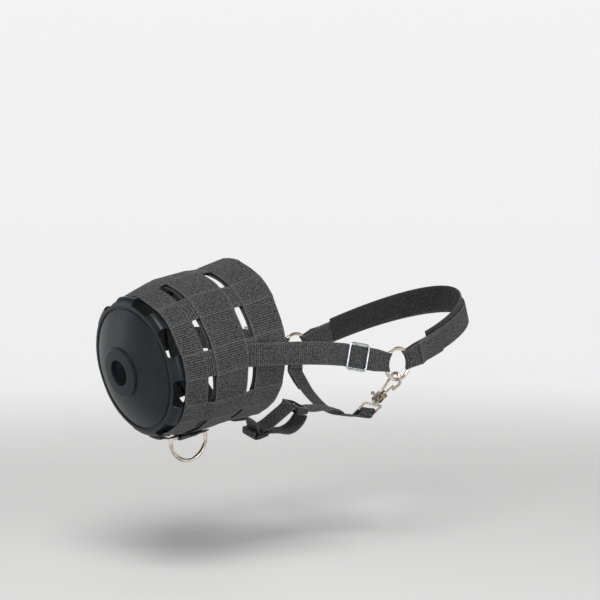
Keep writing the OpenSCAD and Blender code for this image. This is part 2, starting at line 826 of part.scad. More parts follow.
// Slack loop of the chin strap, from the front buckle back to the slider.
module chin_tail() {
    route = concat(
        [for (p = [[8.6, -3.1], [12, -2.4]]) chin_point(loop_place, loop_lean, p[0], p[1])],
        [
            [0, 42, -106.8], [0, 50, -107.6], [0, 57, -109.2], [0, 63, -110.2], [0, 69, -109.8],
            [0, 76, -107.3], [0, 82.5, -102.8], [0, 87.2, -97.5], [0, 88.9, -93.8], [0, 86.6, -91.5]
        ],
        [for (a = [4, 0, -4]) chin_point(chin_slider_place, chin_slider_lean, a, -5.1)]
    );
    color(webbing_colour) ribbon(curve(route, 4), chin_width, chin_side, chin_side);
}

cup();
front_band();
middle_band();
rear_band();
front_lining();
middle_lining();
rear_lining();
top_strap();
upper_near_strap();
side_near_strap();
lower_near_strap();
bottom_strap();
lower_off_strap();
side_off_strap();
upper_off_strap();
front_fold();
ring_keeper();
lead_ring();
cheek_strap_near();
cheek_strap_off();
cheek_slider_near();
cheek_slider_off();
cheek_ring_near();
cheek_ring_off();
crown_strap();
crown_end_near();
crown_end_off();
throat_strap();
throat_end_off();
snap_eye();
snap_body();
snap_gate();
snap_rivet();
snap_spring();
chin_tab();
chin_loop();
chin_strap();
chin_slider();
chin_tail();
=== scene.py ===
"""Looks of the basket muzzle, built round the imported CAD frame.

Lengths are in millimetres until piece() turns them into metres. The basket is laid out by station, which is
the distance forward from its rear opening, and by angle, in degrees from the top towards the near side.
"""

import json
import math

import bmesh
import bpy
import numpy as np
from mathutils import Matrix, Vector


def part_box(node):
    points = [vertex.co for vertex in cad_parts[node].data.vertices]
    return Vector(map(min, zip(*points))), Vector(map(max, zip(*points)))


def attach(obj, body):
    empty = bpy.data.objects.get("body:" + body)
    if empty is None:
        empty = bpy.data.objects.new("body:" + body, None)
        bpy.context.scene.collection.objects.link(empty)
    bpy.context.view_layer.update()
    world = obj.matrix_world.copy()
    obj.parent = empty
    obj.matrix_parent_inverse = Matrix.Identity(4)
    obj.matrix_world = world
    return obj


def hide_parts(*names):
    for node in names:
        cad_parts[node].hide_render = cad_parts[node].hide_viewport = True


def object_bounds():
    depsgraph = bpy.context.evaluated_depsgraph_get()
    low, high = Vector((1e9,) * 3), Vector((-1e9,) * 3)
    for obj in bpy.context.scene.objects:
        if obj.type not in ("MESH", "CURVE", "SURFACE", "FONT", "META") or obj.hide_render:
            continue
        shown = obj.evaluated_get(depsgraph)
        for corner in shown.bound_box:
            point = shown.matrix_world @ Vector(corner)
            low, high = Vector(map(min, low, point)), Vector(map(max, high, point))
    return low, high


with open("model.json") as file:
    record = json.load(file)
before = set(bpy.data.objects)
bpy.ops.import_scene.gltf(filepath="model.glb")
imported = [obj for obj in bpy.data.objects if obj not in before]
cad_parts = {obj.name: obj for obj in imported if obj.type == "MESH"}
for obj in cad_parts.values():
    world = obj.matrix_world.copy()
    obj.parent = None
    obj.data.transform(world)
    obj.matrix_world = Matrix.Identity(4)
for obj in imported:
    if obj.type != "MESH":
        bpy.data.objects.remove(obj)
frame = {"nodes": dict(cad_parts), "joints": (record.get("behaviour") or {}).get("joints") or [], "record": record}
cad_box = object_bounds()

MM = 0.001
X = np.array((1.0, 0.0, 0.0))
Y = np.array((0.0, 1.0, 0.0))
Z = np.array((0.0, 0.0, 1.0))


def millimetres(values):
    return np.array(values, float) / MM


def joint(name):
    return next(j for j in frame["joints"] if j["name"] == name)


# ---------------------------------------------------------------- sizes, as in the CAD part

# Basket: stations of its three hoops and the radius of its outside at each of them
REAR_RADIUS = millimetres(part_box("rear_band")[1])[0]
REAR_END = 37.0
MIDDLE_START = 48.5
MIDDLE_END = 90.5
FRONT_START = 99.5
FRONT_END = 124.0
OUTLINE = (
    (0, REAR_RADIUS),
    (REAR_END, REAR_RADIUS - 4),
    (MIDDLE_START, REAR_RADIUS - 3),
    (MIDDLE_END, REAR_RADIUS - 3.5),
    (FRONT_START, REAR_RADIUS - 6),
    (FRONT_END, REAR_RADIUS - 11.5),
)
DROOP = math.radians(9.6)
REAR_TILT = math.radians(5)
CUP_TILT = math.radians(10.5)

# Webbing: thickness, distance between two layers, widths, angles of the lengthwise straps, how far a lining
# shows past its band, and the gap left round a wire
WEB = 1.8
LAYER = WEB + 0.25
STRAP = 25.0
THROAT = 18.0
LONG_STRAP = 29.0
STRAP_ANGLES = (0, 44, 87.5, 128.5, 180, 231.5, 272.5, 316)
LINING_PEEK = 2.2
CLEAR = 0.3

# Head harness: cheek rings, and the straps and the snap that run from them
RING = millimetres(joint("cheek_ring_near_turn")["pos_m"])
RING_RADIUS = 17.5
RING_WIRE = 4.0
WRAP = RING_WIRE / 2 + CLEAR + WEB / 2
CHEEK_FALL = math.radians(12)
CHEEK_RUN = 84.0
CHEEK_RETURN = 50.0
CROWN_RISE = math.radians(16.7)
CROWN_START = 30.0
CROWN_LENGTH = 178.0
CROWN_DEPTH = CROWN_LENGTH - WEB / 2 - CROWN_START
CROWN_OVERLAP = 74.0
SNAP_SLOPE = math.radians(38.7)
EYE_TURN = math.radians(-20)
EYE_FAR = -66.0
EYE_WRAP = 1.3 + 0.25 + WEB / 2

# Lead ring's bar, and the two plastic buckles under the chin
LEAD_BAR = millimetres(joint("lead_ring_swing")["pos_m"])
LEAD_BAR_DIRECTION = np.array(joint("lead_ring_swing")["axis"])
LEAD_WIRE = 4.5
CHIN_ROLL = math.radians(12)
CHIN_SIDE = np.array((math.cos(CHIN_ROLL), 0, -math.sin(CHIN_ROLL)))
CHIN_WIDTH = STRAP - 2
LOOP_PLACE = np.array((0, 25, -107.0))
LOOP_LEAN = math.radians(14)
SLIDER_PLACE = np.array((0, 81, -84.6))
SLIDER_LEAN = math.radians(-14)

# Weave and stitching
RIB = 2.5
RIB_HEIGHT = 0.34
YARN = 1.3
STITCH = 2.3
STITCH_PITCH = 3.1
THREAD = 0.42
SEW_INSET = 2.2
ROW_GAP = 2.2


# ---------------------------------------------------------------- curves and mappings


def smooth(t):
    t = np.clip(t, 0, 1)
    return t * t * (3 - 2 * t)


def unit(v):
    v = np.asarray(v, float)
    return v / np.maximum(np.linalg.norm(v, axis=-1, keepdims=True), 1e-9)


def curve(knots, step=0.6):
    """Smooth curve through the knots, with points about a step apart."""
    k = np.array(knots, float)
    k = np.vstack([k[:1], k, k[-1:]])
    points = []
    for a, b, c, d in zip(k, k[1:], k[2:], k[3:]):
        count = max(2, int(np.linalg.norm(c - b) / step))
        t = np.arange(count)[:, None] / count
        points.append(
            0.5 * (2 * b + (c - a) * t + (2 * a - 5 * b + 4 * c - d) * t**2 + (3 * b - a - 3 * c + d) * t**3)
        )
    points.append(k[-1:])
    return np.vstack(points)


def outline(s):
    return np.interp(s, [p[0] for p in OUTLINE], [p[1] for p in OUTLINE])


def on_basket(s, degrees, r):
    """Point of the basket at station s, at an angle from the top towards the near side, at radius r."""
    s, a, r = np.broadcast_arrays(np.asarray(s, float), np.radians(degrees), r)
    lean = REAR_TILT + (CUP_TILT - REAR_TILT) * np.clip(s / FRONT_START, 0, 1) ** 1.5
    return np.stack(
        [
            r * np.sin(a),
            -s * math.cos(DROOP) - r * np.cos(a) * np.sin(lean),
            -s * math.sin(DROOP) + r * np.cos(a) * np.cos(lean),
        ],
        -1,
    )


def follow(path, side_start, side_end, narrow=None, pull=None, turning=(0, 1)):
    """Mapping for a strap on a path: (along, across, height) to a point. Returns it and the path's length.

    The strap turns from one side direction to the other between two shares of its length.
    narrow(along) scales the width, and pull(along, across) is an extra shift of each point.
    """
    path = np.asarray(path, float)
    run = np.concatenate([[0], np.cumsum(np.linalg.norm(np.diff(path, axis=0), axis=1))])
    keep = np.concatenate([[True], np.diff(run) > 1e-6])
    path, run = path[keep], run[keep]
    tangent = unit(np.gradient(path, run, axis=0))
    share = np.clip((run / run[-1] - turning[0]) / (turning[1] - turning[0]), 0, 1)[:, None]
    side = unit((1 - share) * side_start + share * side_end)
    face = unit(np.cross(side, tangent))
    across_way = unit(np.cross(tangent, face))

    def at(values, along):
        return np.stack([np.interp(along, run, values[:, k]) for k in range(3)], -1)

    def place(along, across, height):
        along, across, height = np.broadcast_arrays(along, across, height)
        if narrow is not None:
            across = across * narrow(along)
        sideways = at(across_way, along) * across[..., None]
        outward = at(face, along) * height[..., None]
        point = at(path, along) + sideways + outward
        return point if pull is None else point + pull(along, across)

    return place, run[-1]


def path_length(path):
    return np.linalg.norm(np.diff(path, axis=0), axis=1).sum()


def mirrored(place):
    """The same mapping on the off side."""
    return lambda along, across, height: place(along, across, height) * (-1, 1, 1)


def ring_pull(away, depth_of):
    """Shift that lets a strap's edges follow the round wire of a ring; away points from its middle."""

    def pull(along, across):
        drop = RING_RADIUS - np.sqrt(np.maximum(RING_RADIUS**2 - across**2, 1))
        return -(drop * depth_of(along))[..., None] * away

    return pull


def ring_fold(turns, flat, fade, pinch=0.16):
    """Two functions of the place along a strap: how near it is to a fold round a ring, and its width there.

    near is 1 within flat of a turn and falls to 0 over fade; pinch is the share of width lost in the fold.
    """

    def near(along):
        off = np.min([np.abs(along - turn) for turn in turns], axis=0)
        return 1 - smooth((off - flat) / fade)

    def narrow(along):
        return 1 - pinch * near(along)

    return near, narrow


# ---------------------------------------------------------------- mesh building


def piece(name, points, faces, material, replaces=(), values=None):
    """Makes one sewn piece: points in millimetres, smooth shaded, riding on the muzzle body."""
    mesh = bpy.data.meshes.new(name)
    mesh.from_pydata((np.asarray(points) * MM).tolist(), [], faces)
    for key, numbers in (values or {}).items():
        attribute = mesh.attributes.new(key, "FLOAT", "POINT")
        attribute.data.foreach_set("value", np.asarray(numbers, np.float32).ravel())
    work = bmesh.new()
    work.from_mesh(mesh)
    bmesh.ops.recalc_face_normals(work, faces=work.faces)
    work.to_mesh(mesh)
    work.free()
    mesh.polygons.foreach_set("use_smooth", [True] * len(mesh.polygons))
    mesh.materials.append(MATERIALS[material])
    obj = bpy.data.objects.new(name, mesh)
    bpy.context.scene.collection.objects.link(obj)
    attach(obj, "muzzle")
    if replaces:
        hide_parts(*replaces)


def tube_faces(rows, corners):
    """Faces of a tube of closed cross sections, with flat ends."""
    i, j = np.meshgrid(np.arange(rows - 1), np.arange(corners), indexing="ij")
    k = (j + 1) % corners
    quads = np.stack([i * corners + j, i * corners + k, (i + 1) * corners + k, (i + 1) * corners + j], -1)
    ends = [list(range(corners)), list(range((rows - 1) * corners, rows * corners))]
    return quads.reshape(-1, 4).tolist() + ends


def webbing_section(width, thick, columns=9):
    """Cross section of webbing as (across, height) once round, with rounded, slightly thinner selvedges."""
    edge = thick * 0.5
    flat = np.linspace(-1, 1, columns)
    flat_height = thick / 2 * (1 - 0.14 * flat**6)
    turn = np.radians((54, 18, -18, -54))
    across = np.concatenate([flat * (width / 2 - edge), width / 2 - edge + edge * np.cos(turn)])
    height = np.concatenate([flat_height, thick / 2 * 0.86 * np.sin(turn)])
    return np.concatenate([across, -across]), np.concatenate([height, -height])


def webbing(name, place, length, width, replaces=(), thick=WEB, ribbed=True, slot="webbing", ridge=None):
    """One strap with woven ribs across it in its mesh, on a mapping from (along, across, height).

    ridge(along) is 1 where something underneath lifts the strap, and wears it like an edge.
    """
    rows = int(round(length / (RIB / 4 if ribbed else 3.0))) + 1
    along = np.linspace(0, length, rows)
    across, height = webbing_section(width, thick)
    rib = RIB_HEIGHT * (np.abs(np.sin(np.pi * along / RIB)) - 0.6) if ribbed else np.zeros(rows)
    swell = rib[:, None] * np.sign(height) * (np.abs(height) > thick * 0.4)
    points = place(along[:, None], across[None, :], height[None, :] + swell)
    edge = np.broadcast_to(np.abs(across[None, :]) / (width / 2), points.shape[:2])
    values = {
        "along": np.broadcast_to(along[:, None], points.shape[:2]),
        "across": np.broadcast_to(across[None, :], points.shape[:2]),
        "edge": edge if ridge is None else np.maximum(edge, ridge(along)[:, None]),
    }
    piece(name, points.reshape(-1, 3), tube_faces(rows, len(across)), slot, replaces, values)


def stitch_row(place, start, end, face=1, thick=WEB):
    """Stitches between two (along, across) places of a strap, as their ends and the way up."""
    start, end = np.array(start, float), np.array(end, float)
    count = max(1, int(np.linalg.norm(end - start) / STITCH_PITCH))
    first = (np.arange(count) + 0.5 - STITCH / STITCH_PITCH / 2) / count
    last = first + STITCH / STITCH_PITCH / count
    level = face * (thick / 2 + THREAD * 0.45)

    def spot(share, height):
        spots = start + (end - start) * share[:, None]
        return place(spots[:, 0], spots[:, 1], np.full(count, height))

    up = unit(spot(first, level) - spot(first, level - face * 0.5))
    return spot(first, level), spot(last, level), up


def rows_on_both_faces(place, reach, edge):
    """Rows across a strap at reach along it, on its outer and its inner face."""
    return [stitch_row(place, (reach, -edge), (reach, edge), face) for face in (1, -1)]


def stitching(name, rows):
    """All the stitches of some rows as one piece: a rounded bead of thread for each stitch."""
    a, b, up = (np.concatenate([row[k] for row in rows]) for k in range(3))
    way = unit(b - a)
    side = unit(np.cross(way, up))
    up = np.cross(side, way)
    shares = np.array((0, 0.14, 0.5, 0.86, 1))
    sizes = np.array((0.3, 0.85, 1, 0.85, 0.3)) * THREAD
    turns = np.radians(np.arange(0, 360, 60))
    core = a[:, None] + (b - a)[:, None] * shares[None, :, None]
    ring = side[:, None] * np.cos(turns)[None, :, None] + up[:, None] * np.sin(turns)[None, :, None]
    points = core[:, :, None] + ring[:, None] * sizes[None, :, None, None]
    one = tube_faces(len(shares), len(turns))
    size = len(shares) * len(turns)
    faces = [[v + size * k for v in face] for k in range(len(a)) for face in one]
    values = {"along": np.broadcast_to((shares * STITCH)[None, :, None], points.shape[:3])}
    piece(name, points.reshape(-1, 3), faces, "thread", (), values)


# ---------------------------------------------------------------- materials


def nodes_of(name):
    material = bpy.data.materials.new(name)
    material.use_nodes = True
    tree = material.node_tree
    return material, tree, tree.nodes["Principled BSDF"]


def link(tree, source, target):
    tree.links.new(source, target)


def value_of(tree, attribute):
    node = tree.nodes.new("ShaderNodeAttribute")
    node.attribute_name = attribute
    return node.outputs["Fac"]


def math_node(tree, operation, a, b=None, c=None, clamp=False):
    node = tree.nodes.new("ShaderNodeMath")
    node.operation = operation
    node.use_clamp = clamp
    for socket, value in zip(node.inputs, (a, b, c)):
        if value is None:
            continue
        if isinstance(value, (int, float)):
            socket.default_value = value
        else:
            link(tree, value, socket)
    return node.outputs[0]


def noise(tree, scale, detail=3.0, roughness=0.55, stretch=None):
    """Noise in the object's own space, where scale is per metre."""
    place = tree.nodes.new("ShaderNodeTexCoord").outputs["Object"]
    if stretch:
        mapping = tree.nodes.new("ShaderNodeMapping")
        mapping.inputs["Scale"].default_value = stretch
        link(tree, place, mapping.inputs["Vector"])
        place = mapping.outputs["Vector"]
    node = tree.nodes.new("ShaderNodeTexNoise")
    node.inputs["Scale"].default_value = scale
    node.inputs["Detail"].default_value = detail
    node.inputs["Roughness"].default_value = roughness
    link(tree, place, node.inputs["Vector"])
    return node.outputs["Fac"]


def ramp(tree, source, stops):
    """Colour ramp with stops of (position, grey or colour)."""
    node = tree.nodes.new("ShaderNodeValToRGB")
    link(tree, source, node.inputs["Fac"])
    elements = node.color_ramp.elements
    while len(elements) < len(stops):
        elements.new(0.5)
    for element, (position, colour) in zip(elements, stops):
        element.position = position
        colour = (colour,) * 3 if isinstance(colour, (int, float)) else colour
        element.color = (*colour, 1)
    return node.outputs["Color"]


def mix_colour(tree, share, a, b):
    """Colour a where the share is 0 and b where it is 1; b may be a plain colour."""
    node = tree.nodes.new("ShaderNodeMix")
    node.data_type = "RGBA"
    for socket, value in ((node.inputs["Factor"], share), (node.inputs[6], a), (node.inputs[7], b)):
        if isinstance(value, tuple):
            socket.default_value = (*value, 1)
        else:
            link(tree, value, socket)
    return node.outputs[2]


def bump(tree, shader, height, distance):
    node = tree.nodes.new("ShaderNodeBump")
    node.inputs["Distance"].default_value = distance
    link(tree, height, node.inputs["Height"])
    link(tree, node.outputs["Normal"], shader.inputs["Normal"])


def weave_noise(tree, along, across, rib_share, dash, detail=2.0):
    """Noise in the strap's own directions: cells of rib_share ribs along it and dash millimetres across."""
    place = tree.nodes.new("ShaderNodeCombineXYZ")
    link(tree, math_node(tree, "DIVIDE", along, RIB * rib_share), place.inputs["X"])
    link(tree, math_node(tree, "DIVIDE", across, dash), place.inputs["Y"])
    node = tree.nodes.new("ShaderNodeTexNoise")
    node.inputs["Scale"].default_value = 1.0
    node.inputs["Detail"].default_value = detail
    link(tree, place.outputs["Vector"], node.inputs["Vector"])
    return node.outputs["Fac"]


def webbing_material(name, valley, crown, worn_and_glint_colour, rib_depth):
    """Woven nylon: ribs across the strap, broken into dashes by the yarns, and worn selvedges. Its colour holds
    painted shade in the rib valleys, painted highlight on the rib crowns and dashes, and painted glints.
    """
    material, tree, shader = nodes_of(name)
    along = value_of(tree, "along")
    across = value_of(tree, "across")
    edge = value_of(tree, "edge")
    rib_turn = math_node(tree, "MULTIPLY", along, math.pi / RIB)
    rib = math_node(tree, "ABSOLUTE", math_node(tree, "SINE", rib_turn))
    row = math_node(tree, "FLOOR", math_node(tree, "DIVIDE", along, RIB))
    stagger = math_node(tree, "MULTIPLY", row, math.pi / 2)
    yarn_turn = math_node(tree, "ADD", math_node(tree, "MULTIPLY", across, math.pi / YARN), stagger)
    yarn = math_node(tree, "ABSOLUTE", math_node(tree, "SINE", yarn_turn))
    dash = ramp(tree, weave_noise(tree, along, across, 0.8, 2.6), ((0.36, 0.0), (0.62, 1.0)))
    patch = noise(tree, 38, 4.0)
    weave = math_node(tree, "MULTIPLY_ADD", rib, 0.45, math_node(tree, "MULTIPLY", yarn, 0.2))
    weave = math_node(tree, "MULTIPLY_ADD", dash, 0.35, weave)
    # Tone from the weave: painted shade darkens the rib valleys to near black, and painted highlight lightens the
    # rib crowns and the dashes.
    tone = ramp(tree, weave, ((0.26, valley), (0.6, 0.26 * crown), (0.92, crown)))
    worn = math_node(tree, "MULTIPLY", math_node(tree, "POWER", edge, 14.0), 0.45)
    rubbed = ramp(tree, patch, ((0.5, 0.0), (0.75, 1.0)))
    worn = math_node(tree, "MULTIPLY_ADD", rubbed, 0.16, worn, clamp=True)
    colour = mix_colour(tree, worn, tone, worn_and_glint_colour)
    # Painted glints: small spots of the weave mixed towards the pale colour, which also serves for the worn edges.
    painted_glint = ramp(tree, weave_noise(tree, along, across, 0.35, 1.1, 0.0), ((0.63, 0.0), (0.71, 1.0)))
    colour = mix_colour(tree, math_node(tree, "MULTIPLY", painted_glint, 0.6), colour, worn_and_glint_colour)
    link(tree, colour, shader.inputs["Base Color"])
    link(tree, ramp(tree, weave, ((0.2, 0.95), (1.0, 0.5))), shader.inputs["Roughness"])
    shader.inputs["Specular IOR Level"].default_value = 0.35
    shader.inputs["Sheen Weight"].default_value = 0.12
    shader.inputs["Sheen Roughness"].default_value = 0.45
    bump(tree, shader, weave, rib_depth * MM)
    return material


def rubber_material(name):
    """Moulded charcoal rubber: satin, with fine grain, rubbed patches and dust in faint streaks."""
    material, tree, shader = nodes_of(name)
    patch = noise(tree, 24, 5.0)
    grain = noise(tree, 1400, 2.0)
    dust = noise(tree, 60, 6.0, 0.7, (1.0, 1.0, 0.35))
    colour = ramp(tree, patch, ((0.3, (0.008, 0.009, 0.011)), (0.7, (0.013, 0.0145, 0.0175))))
    dusty = math_node(tree, "MULTIPLY", ramp(tree, dust, ((0.55, 0.0), (0.8, 1.0))), 0.22)
    link(tree, mix_colour(tree, dusty, colour, (0.06, 0.062, 0.066)), shader.inputs["Base Color"])
    rough = math_node(tree, "MULTIPLY_ADD", patch, 0.20, 0.26)
    link(tree, math_node(tree, "MULTIPLY_ADD", dusty, 0.5, rough), shader.inputs["Roughness"])
    shader.inputs["Specular IOR Level"].default_value = 0.25
    bump(tree, shader, math_node(tree, "MULTIPLY_ADD", patch, 6.0, grain), 0.05 * MM)
    return material


def plastic_material(name):
    """Black moulded plastic with a fine spark-eroded texture and rubbed, glossier patches."""
    material, tree, shader = nodes_of(name)
    patch = noise(tree, 90, 4.0)
    link(tree, ramp(tree, patch, ((0.35, 0.010), (0.75, 0.024))), shader.inputs["Base Color"])
    link(tree, ramp(tree, patch, ((0.3, 0.42), (0.7, 0.24))), shader.inputs["Roughness"])
    bump(tree, shader, noise(tree, 2500, 1.0), 0.03 * MM)
    return material


def plate_material(name, dull, bright):
    """Polished plate, with rubbed hairlines and tarnish that dulls it in patches."""
    material, tree, shader = nodes_of(name)
    patch = noise(tree, 110, 5.0)
    hairline = noise(tree, 900, 2.0, 0.6, (1.0, 0.15, 1.0))
    colour = ramp(tree, patch, ((0.35, dull), (0.62, bright)))
    link(tree, colour, shader.inputs["Base Color"])
    shader.inputs["Metallic"].default_value = 1.0
    rough = math_node(tree, "MULTIPLY_ADD", hairline, 0.14, 0.06)
    link(tree, math_node(tree, "MULTIPLY_ADD", patch, 0.16, rough), shader.inputs["Roughness"])
    bump(tree, shader, hairline, 0.012 * MM)
    return material


def thread_material(name):
    """Bonded nylon sewing thread: paler than the webbing, twisted."""
    material, tree, shader = nodes_of(name)
    along = value_of(tree, "along")
    twist = math_node(tree, "SINE", math_node(tree, "MULTIPLY", along, 9.0))
    link(tree, ramp(tree, noise(tree, 300, 2.0), ((0.3, 0.05), (0.7, 0.13))), shader.inputs["Base Color"])
    shader.inputs["Roughness"].default_value = 0.6
    shader.inputs["Sheen Weight"].default_value = 0.15
    bump(tree, shader, twist, 0.06 * MM)
    return material


def floor_material(name):
    """Pale floor that fades into the even backdrop with distance from the object, in metres."""
    material, tree, shader = nodes_of(name)
    link(tree, ramp(tree, noise(tree, 1.5, 2.0), ((0.3, 0.76), (0.7, 0.79))), shader.inputs["Base Color"])
    shader.inputs["Roughness"].default_value = 0.9
    length = tree.nodes.new("ShaderNodeVectorMath")
    length.operation = "LENGTH"
    link(tree, tree.nodes.new("ShaderNodeTexCoord").outputs["Object"], length.inputs[0])
    away = tree.nodes.new("ShaderNodeMapRange")
    away.interpolation_type = "SMOOTHSTEP"
    away.inputs["From Min"].default_value = 0.35
    away.inputs["From Max"].default_value = 1.5
    link(tree, length.outputs["Value"], away.inputs["Value"])
    clear = tree.nodes.new("ShaderNodeBsdfTransparent")
    mix = tree.nodes.new("ShaderNodeMixShader")
    link(tree, away.outputs["Result"], mix.inputs["Fac"])
    link(tree, shader.outputs[0], mix.inputs[1])
    link(tree, clear.outputs[0], mix.inputs[2])
    link(tree, mix.outputs[0], tree.nodes["Material Output"].inputs["Surface"])
    return material


MATERIALS = {
    # The near-black valley and the paler crown are painted shade and painted highlight of the ribs; the pale third
    # colour serves both worn edges and painted glints.
    "webbing": webbing_material("webbing", 0.001, 0.089, (0.15, 0.15, 0.16), 0.5),
    "lining": webbing_material("lining", 0.005, 0.03, (0.08, 0.08, 0.08), 0.12),
    "rubber": rubber_material("rubber"),
    "plastic": plastic_material("plastic"),
    "nickel": plate_material("nickel", (0.42, 0.37, 0.30), (0.84, 0.77, 0.67)),
    "zinc": plate_material("zinc", (0.46, 0.47, 0.50), (0.84, 0.85, 0.88)),
    "thread": thread_material("thread"),
}

# ---------------------------------------------------------------- basket

# Angle of each hoop's seam, length of its lap there, and degrees before its end where the lap starts to rise
SEAM = 212.0
LAP = 26.0
LAP_RISE = 22
# Sag between the lengthwise straps, step down beside them, and how far they stand out in the gaps
SAG = 0.35
STEP = 0.7
BULGE = 1.9
# Half a lengthwise strap, in degrees round the basket
EDGE_ANGLE = 9.6
# Length over which a lengthwise strap comes out into a gap, and the part of it that lies under the hoops
GAP_RAMP = 2.8
GAP_START = 1.3
LONG_START = 2.0
LONG_LENGTH = FRONT_END - 3


def off_strap(degrees):
    """Degrees from the middle of the nearest lengthwise strap."""
    return np.min([np.abs((degrees - a + 180) % 360 - 180) for a in STRAP_ANGLES], axis=0)


def between_straps(degrees):
    """0 over a lengthwise strap, 1 between two of them."""
    return smooth((off_strap(degrees) - EDGE_ANGLE + 0.1) / 8)


def beside_straps(degrees):
    """0 over a lengthwise strap, 1 just past its edge, where the webbing over it steps down."""
    return smooth((off_strap(degrees) - EDGE_ANGLE - 0.2) / 1.6)


def strap_edge(degrees):
    """1 where a band is rubbed over the edge of a lengthwise strap."""
    return np.clip(1.6 - 1.6 * np.abs(off_strap(degrees) - EDGE_ANGLE), 0, 1)


def hand_made(s, degrees):
    """Small unevenness of sewn webbing, larger towards the underside, where the basket slackens."""
    a = np.radians(degrees)
    low = smooth((0.25 - np.cos(a)) / 1.2)
    wave = np.sin(3 * a + s / 31 + 0.6) + 0.7 * np.sin(7 * a - s / 17 + 2.1)
    crease = np.sin(23 * a + s / 6.5) * np.sin(5 * a + 0.8)
    return 0.22 * wave + 0.32 * low * crease


def swayed(middle, across, degrees):
    """Station of a point of a hoop, whose edges wander a little between the lengthwise straps."""
    return middle + across + 0.45 * np.sin(np.radians(degrees) * 8 + middle) * between_straps(degrees)


def band_place(s0, s1):
    """Mapping for a hoop from station s0 to s1 whose end laps over its start. Also its length and radius."""
    middle = (s0 + s1) / 2
    radius = float(outline(middle))
    turn = 360 + math.degrees(LAP / radius)

    def place(along, across, height):
        along, across, height = np.broadcast_arrays(along, across, height)
        degrees = SEAM + np.degrees(along / radius)
        rise = smooth((along - math.radians(turn - LAP_RISE) * radius) / 8) * (WEB + CLEAR)
        s = swayed(middle, across, degrees)
        dip = SAG * between_straps(degrees) + STEP * beside_straps(degrees)
        r = outline(s) - WEB / 2 + height + rise - dip + hand_made(s, degrees)
        return on_basket(s, degrees, r)

    return place, math.radians(turn) * radius, radius


def lining_place(s0, s1):
    """Mapping for a plain hoop inside the lengthwise straps, with a butted seam. Also its length."""
    middle = (s0 + s1) / 2
    depth = 2 * LAYER
    radius = float(outline(middle)) - depth

    def place(along, across, height):
        along, across, height = np.broadcast_arrays(along, across, height)
        degrees = SEAM + np.degrees(along / radius)
        s = swayed(middle, across, degrees)
        return on_basket(s, degrees, outline(s) - depth - WEB / 2 + height)

    return place, math.radians(360 - 0.4) * radius


def crossing_rows(place, s0, s1, radius, inset=2.4):
    """Box stitching where each lengthwise strap crosses a band."""
    half = (s1 - s0) / 2 - inset
    side = LONG_STRAP / 2 - inset
    rows = []
    for angle in STRAP_ANGLES:
        middle = math.radians((angle - SEAM) % 360) * radius
        for c in (-side, -side + ROW_GAP, side - ROW_GAP, side):
            rows.append(stitch_row(place, (middle + c, -half), (middle + c, half)))
        for c in (-half, half):
            rows.append(stitch_row(place, (middle - side, c), (middle + side, c)))
    return rows


def bands():
    """The three outer hoops, worn where they pass over the edges of the lengthwise straps."""
    for name, s0, s1 in (
        ("rear_band", 0.0, REAR_END),
        ("middle_band", MIDDLE_START, MIDDLE_END),
        ("front_band", FRONT_START, FRONT_END),
    ):
        place, length, radius = band_place(s0, s1)

        def ridge(along, radius=radius):
            return strap_edge(SEAM + np.degrees(along / radius))

        webbing(name + "_webbing", place, length, s1 - s0, (name,), ridge=ridge)
        stitching(name + "_stitching", crossing_rows(place, s0, s1, radius))


def linings():
    """The three inner hoops, whose front edges show in the gaps."""
    for name, s0, s1 in (
        ("rear_lining", 1.0, REAR_END + LINING_PEEK),
        ("middle_lining", MIDDLE_START + 1, MIDDLE_END + LINING_PEEK),
        ("front_lining", FRONT_START - LINING_PEEK, FRONT_START + 7),
    ):
        place, length = lining_place(s0, s1)
        webbing(name + "_tape", place, length, s1 - s0, (name,), ribbed=False, slot="lining")


def in_gap(s, start, end):
    """1 in the gap between two hoops, fading to 0 under them."""
    return smooth((s - start + GAP_START) / GAP_RAMP) * smooth((end + GAP_START - s) / GAP_RAMP)


def long_strap_place(angle):
    """Mapping for a lengthwise strap, which lies under the bands and stands out in the gaps."""
    radius = float(outline(MIDDLE_START))

    def place(along, across, height):
        s = LONG_START + along
        gaps = in_gap(s, REAR_END, MIDDLE_START) + in_gap(s, MIDDLE_END, FRONT_START)
        r = outline(s) - LAYER - WEB / 2 + height + BULGE * gaps
        return on_basket(s, angle + np.degrees(across / radius), r)

    return place


def long_straps():
    names = ("top", "upper_near", "side_near", "lower_near", "bottom", "lower_off", "side_off", "upper_off")
    for name, angle in zip(names, STRAP_ANGLES):
        place = long_strap_place(angle)
        webbing(name + "_webbing", place, LONG_LENGTH, LONG_STRAP, (name + "_strap",))


FOLD_ANGLE = 182.0
FOLD_WIDTH = 20
FOLD_START = FRONT_END - 13.5


def front_fold():
    """The strap end turned back under the front band: two layers joined by a fold at the front."""
    radius = REAR_RADIUS - 8

    def lift(s):
        return float(outline(min(s, FRONT_END)))

    front = lift(FRONT_END)
    layers = [(s, lift(s) + 1.3) for s in (FOLD_START, FOLD_START + 6, FRONT_END - 2)]
    turn = [(FRONT_END + 0.3, front + 1.9), (FRONT_END + 0.7, front + 3.4), (FRONT_END - 0.8, front + 5)]
    back = [(FRONT_END - 5, front + 5.4), (FOLD_START + 1, lift(FOLD_START) + 4.4)]
    flat = curve([(0, s, r) for s, r in layers + turn + back], 0.5)
    flat_place, length = follow(flat, X, X)

    def place(along, across, height):
        p = flat_place(along, across, height)
        return on_basket(p[..., 1], FOLD_ANGLE + np.degrees(p[..., 0] / radius), p[..., 2])

    webbing("front_fold_webbing", place, length, FOLD_WIDTH, ("front_fold",))


# ---------------------------------------------------------------- lead ring keeper


